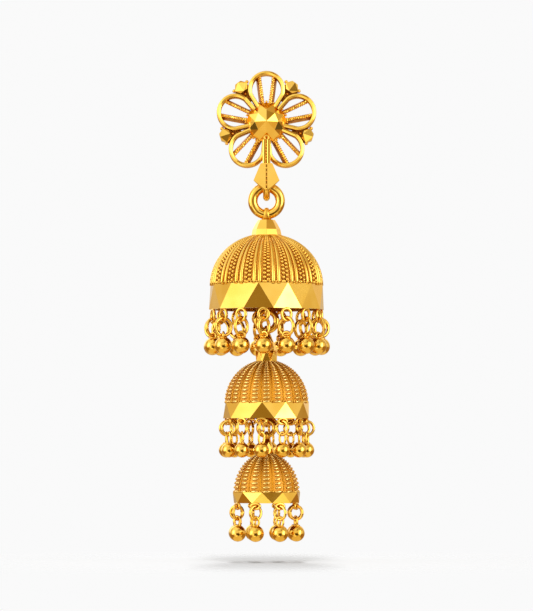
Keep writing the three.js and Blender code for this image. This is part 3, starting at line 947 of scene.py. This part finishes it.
def make_world():
    """A white surround to look at, and soft lights and shades for the gold to mirror."""
    world = bpy.data.worlds.new("studio")
    bpy.context.scene.world = world
    world.use_nodes = True
    nodes, links = world.node_tree.nodes, world.node_tree.links

    def calc(operation, *values):
        node = nodes.new("ShaderNodeMath")
        node.operation = operation
        for socket, value in zip(node.inputs, values):
            if isinstance(value, (int, float)):
                socket.default_value = value
            else:
                links.new(value, socket)
        return node.outputs["Value"]

    def inside(angle, middle, half, soft):
        away = calc("ABSOLUTE", calc("SUBTRACT", angle, middle))
        node = nodes.new("ShaderNodeMapRange")
        node.interpolation_type = "SMOOTHSTEP"
        node.inputs["From Min"].default_value = half + soft
        node.inputs["From Max"].default_value = half - soft
        links.new(away, node.inputs["Value"])
        return node.outputs["Result"]

    way = nodes.new("ShaderNodeSeparateXYZ")
    links.new(nodes.new("ShaderNodeTexCoord").outputs["Generated"], way.inputs["Vector"])
    across = calc("DEGREES", calc("ARCTAN2", way.outputs["X"], calc("MULTIPLY", way.outputs["Y"], -1)))
    up = calc("DEGREES", calc("ARCSINE", way.outputs["Z"]))

    colour = None
    for middle, half, soft, tint in PATCHES:
        mask = calc("MULTIPLY", inside(across, middle[0], half[0], soft),
                    inside(up, middle[1], half[1], soft))
        mix = nodes.new("ShaderNodeMix")
        mix.data_type = "RGBA"
        links.new(mask, mix.inputs["Factor"])
        first, second = [i for i in mix.inputs if i.type == "RGBA"]
        if colour is None:
            first.default_value = (*SURROUND, 1)
        else:
            links.new(colour, first)
        second.default_value = (*tint, 1)
        colour = [o for o in mix.outputs if o.type == "RGBA"][0]

    seen = nodes["Background"]
    seen.inputs["Color"].default_value = (BACKDROP, BACKDROP, BACKDROP, 1)
    mirrored = nodes.new("ShaderNodeBackground")
    links.new(colour, mirrored.inputs["Color"])
    rays = nodes.new("ShaderNodeLightPath")
    mix = nodes.new("ShaderNodeMixShader")
    links.new(rays.outputs["Is Camera Ray"], mix.inputs["Fac"])
    links.new(mirrored.outputs["Background"], mix.inputs[1])
    links.new(seen.outputs["Background"], mix.inputs[2])
    links.new(mix.outputs["Shader"], nodes["World Output"].inputs["Surface"])


def floor_material():
    """Matte with a glow, as light as the surround, and fading into it away from the earring."""
    material = bpy.data.materials.new("white_floor")
    material.use_nodes = True
    nodes, links = material.node_tree.nodes, material.node_tree.links
    nodes.remove(nodes["Principled BSDF"])
    matte = nodes.new("ShaderNodeBsdfDiffuse")
    matte.inputs["Color"].default_value = (*FLOOR.colour, 1)
    glow = nodes.new("ShaderNodeEmission")
    glow.inputs["Strength"].default_value = FLOOR.glow
    shader = nodes.new("ShaderNodeAddShader")
    links.new(matte.outputs["BSDF"], shader.inputs[0])
    links.new(glow.outputs["Emission"], shader.inputs[1])
    place = nodes.new("ShaderNodeTexCoord")
    far = nodes.new("ShaderNodeVectorMath")
    far.operation = "LENGTH"
    links.new(place.outputs["Object"], far.inputs[0])
    fade = nodes.new("ShaderNodeMapRange")
    fade.interpolation_type = "SMOOTHERSTEP"
    fade.inputs["From Min"].default_value = FLOOR.fade_from
    fade.inputs["From Max"].default_value = FLOOR.fade_to
    links.new(far.outputs["Value"], fade.inputs["Value"])
    clear = nodes.new("ShaderNodeBsdfTransparent")
    mix = nodes.new("ShaderNodeMixShader")
    links.new(fade.outputs["Result"], mix.inputs["Fac"])
    links.new(shader.outputs["Shader"], mix.inputs[1])
    links.new(clear.outputs["BSDF"], mix.inputs[2])
    links.new(mix.outputs["Shader"], nodes["Material Output"].inputs["Surface"])
    return material


def make_studio():
    low, high = (Vector(corner) for corner in cad_box)
    axis = Vector((0, TIERS[0].centre[1] * MM, (low.z + high.z) / 2))
    make_camera(axis)
    make_world()

    rim = circle((0, 0, 0), FLOOR.radius, (1, 0, 0), (0, 1, 0), FLOOR.sides)
    mesh = bpy.data.meshes.new("floor")
    mesh.from_pydata(rim.tolist(), [], [tuple(range(len(rim)))])
    mesh.materials.append(floor_material())
    floor = bpy.data.objects.new("floor", mesh)
    floor.location = (axis.x, axis.y, low.z - FLOOR.below)
    bpy.context.collection.objects.link(floor)
    floor.visible_glossy = False

    for name, offset, power in STRIPS:
        strip = bpy.data.lights.new(name, "AREA")
        strip.shape = "RECTANGLE"
        strip.size, strip.size_y = STRIP.width, STRIP.length
        strip.energy = power
        lamp = bpy.data.objects.new(name, strip)
        lamp.location = (axis.x, axis.y + offset, floor.location.z + STRIP.height)
        lamp.visible_glossy = False
        bpy.context.collection.objects.link(lamp)

    bpy.context.scene.view_settings.view_transform = "Standard"


for tier in TIERS:
    measure(tier)
make_stud()
make_post()
for tier, below in zip(TIERS, [*TIERS[1:], None]):
    make_tier(tier, below)
make_studio()
